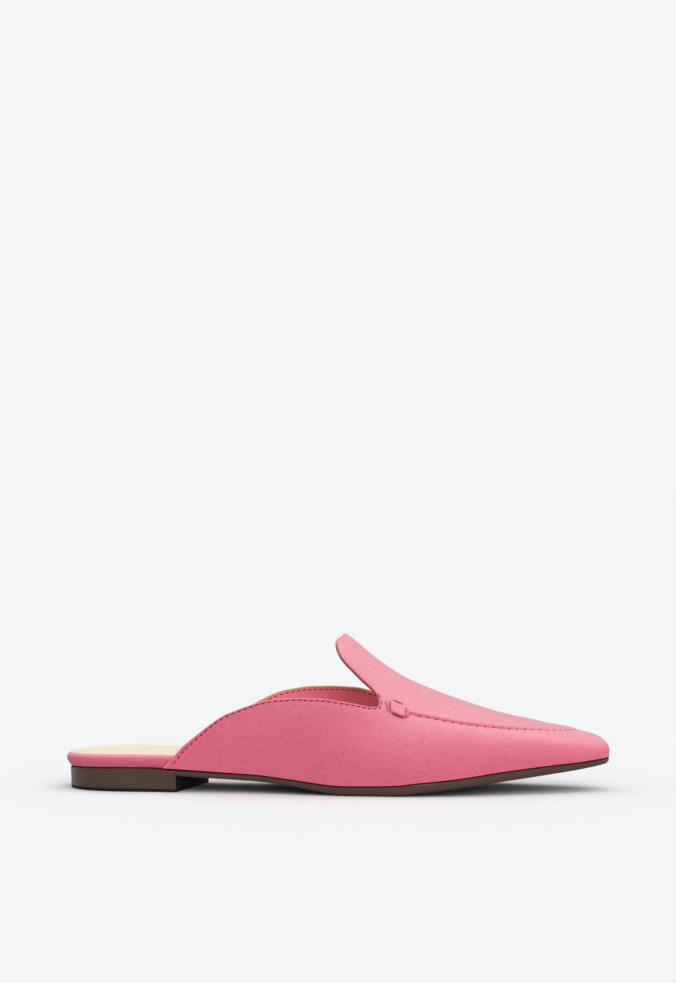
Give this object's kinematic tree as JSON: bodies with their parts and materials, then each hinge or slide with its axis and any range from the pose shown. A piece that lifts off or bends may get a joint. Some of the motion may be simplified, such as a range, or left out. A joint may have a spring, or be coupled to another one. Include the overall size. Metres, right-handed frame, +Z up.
{
  "type": "flat mule shoe",
  "caption": "Backless flat slip-on shoe with a pointed toe, a tall tongue, a raised seam round the vamp and a low block heel.",
  "frame": {"origin": "on the floor, under the middle of the shoe's length and width", "axes": "+X from the heel towards the toe, +Y towards the medial (inner) side, +Z up"},
  "size_m": [0.262, 0.0794, 0.0749],
  "materials": {
    "suede": "rose pink suede, short nap, no shine",
    "sock": "cream lining leather, low sheen",
    "sole": "dark brown dressed leather, satin"
  },
  "bodies": {
    "root": {"outsole": "sole", "heel": "sole", "footbed": "suede", "insole_sock": "sock", "upper": "suede", "keeper_lateral": "suede", "keeper_medial": "suede"}
  },
  "joints": []
}
